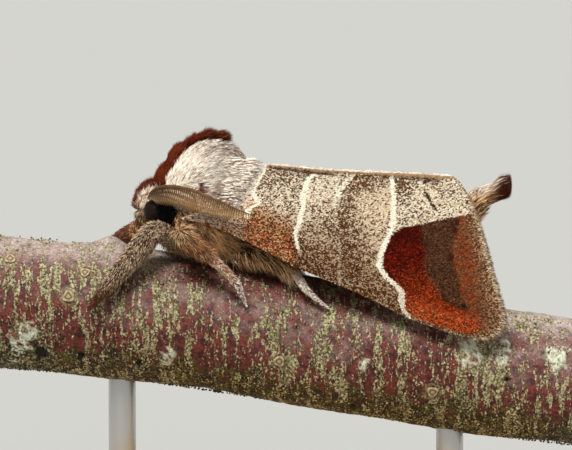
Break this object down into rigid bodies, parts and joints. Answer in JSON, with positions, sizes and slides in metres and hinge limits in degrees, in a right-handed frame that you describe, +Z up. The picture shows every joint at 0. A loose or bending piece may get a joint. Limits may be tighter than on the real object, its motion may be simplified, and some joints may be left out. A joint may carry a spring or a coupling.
{
  "type": "chocolate-tip moth",
  "caption": "Life-size moth at rest with roofed wings, gripping a cut length of twig on a flat display base with short rods.",
  "frame": {"origin": "middle of the underside of the display base", "axes": "+Z up, the moth faces -X, and its left side is -Y"},
  "size_m": [0.0276, 0.013, 0.017],
  "materials": {
    "body_fur": "dense pale buff hair with a dark chocolate stripe",
    "tail_fur": "brown hair, paler above",
    "wing_scales": "matt overlapping scales, buff with white lines and a red-brown tip",
    "hindwing_scales": "matt grey-buff scales",
    "antenna_horn": "satin ochre horn",
    "eye_lens": "glossy dark brown",
    "leg_fur": "short speckled brown hair",
    "bark": "red-brown bark with grey patches",
    "stand_wood": "fine-grained wood, satin varnish",
    "stand_steel": "drawn steel wire"
  },
  "bodies": {
    "root": {"head": "body_fur", "thorax": "body_fur", "abdomen": "body_fur", "tail_tuft": "tail_fur", "forewing_left": "wing_scales", "forewing_right": "wing_scales", "hindwing_left": "hindwing_scales", "hindwing_right": "hindwing_scales", "antenna_left": "antenna_horn", "antenna_right": "antenna_horn", "eye_left": "eye_lens", "eye_right": "eye_lens", "palp_left": "leg_fur", "palp_right": "leg_fur", "foreleg_left": "leg_fur", "foreleg_right": "leg_fur", "midleg_left": "leg_fur", "midleg_right": "leg_fur", "hindleg_left": "leg_fur", "hindleg_right": "leg_fur", "perch": "bark", "stand_base": "stand_wood", "stand_rod_front": "stand_steel", "stand_rod_rear": "stand_steel"}
  },
  "joints": []
}
